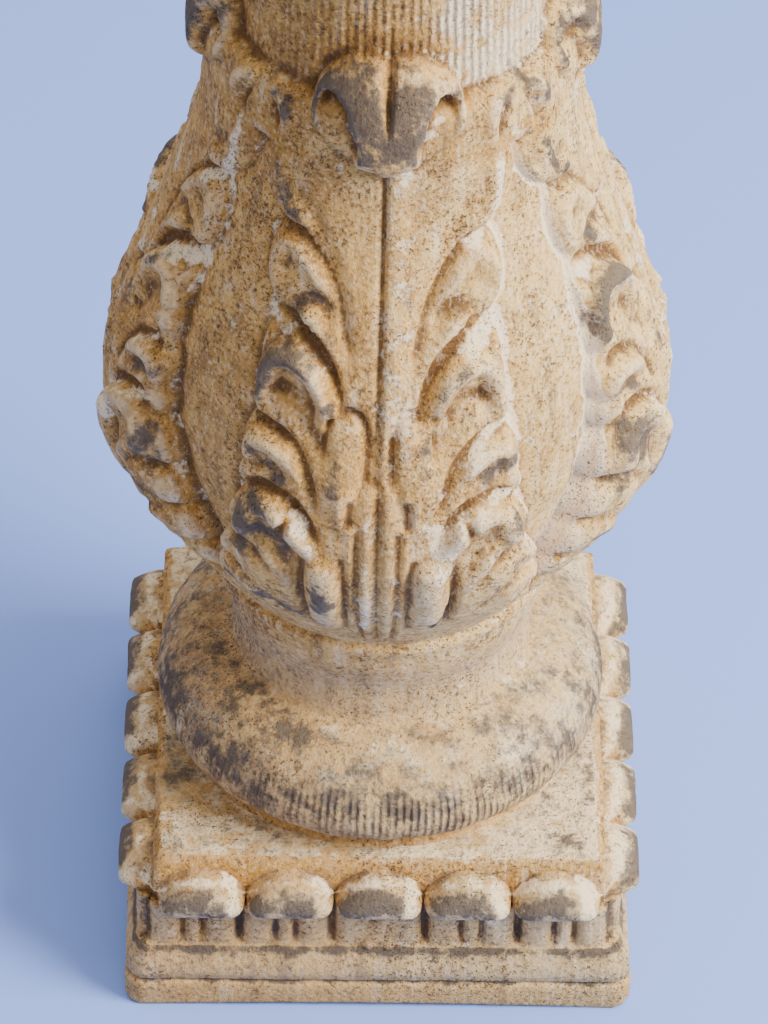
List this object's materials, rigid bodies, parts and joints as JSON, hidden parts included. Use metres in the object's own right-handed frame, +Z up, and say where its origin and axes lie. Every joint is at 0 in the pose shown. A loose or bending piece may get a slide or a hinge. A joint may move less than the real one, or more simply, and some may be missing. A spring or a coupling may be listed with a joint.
{
  "type": "stone pedestal",
  "caption": "Square-based stone pedestal: lobed plinth, cushion foot, pear-shaped shaft wrapped in acanthus leaves, and a square top plate to stand a pot, lamp or bust on.",
  "frame": {"origin": "centre of the plinth's underside, where it stands on the floor", "axes": "+Z up the shaft, -Y towards the viewer in the picture (a side of the square plinth), +X to the viewer's right"},
  "size_m": [0.1952, 0.1952, 0.49],
  "materials": {
    "stone": "carved stone with an ochre patina, chalky residue in the hollows and grey-black weathering on what stands proud"
  },
  "bodies": {
    "root": {"pedestal": "stone"}
  },
  "joints": []
}
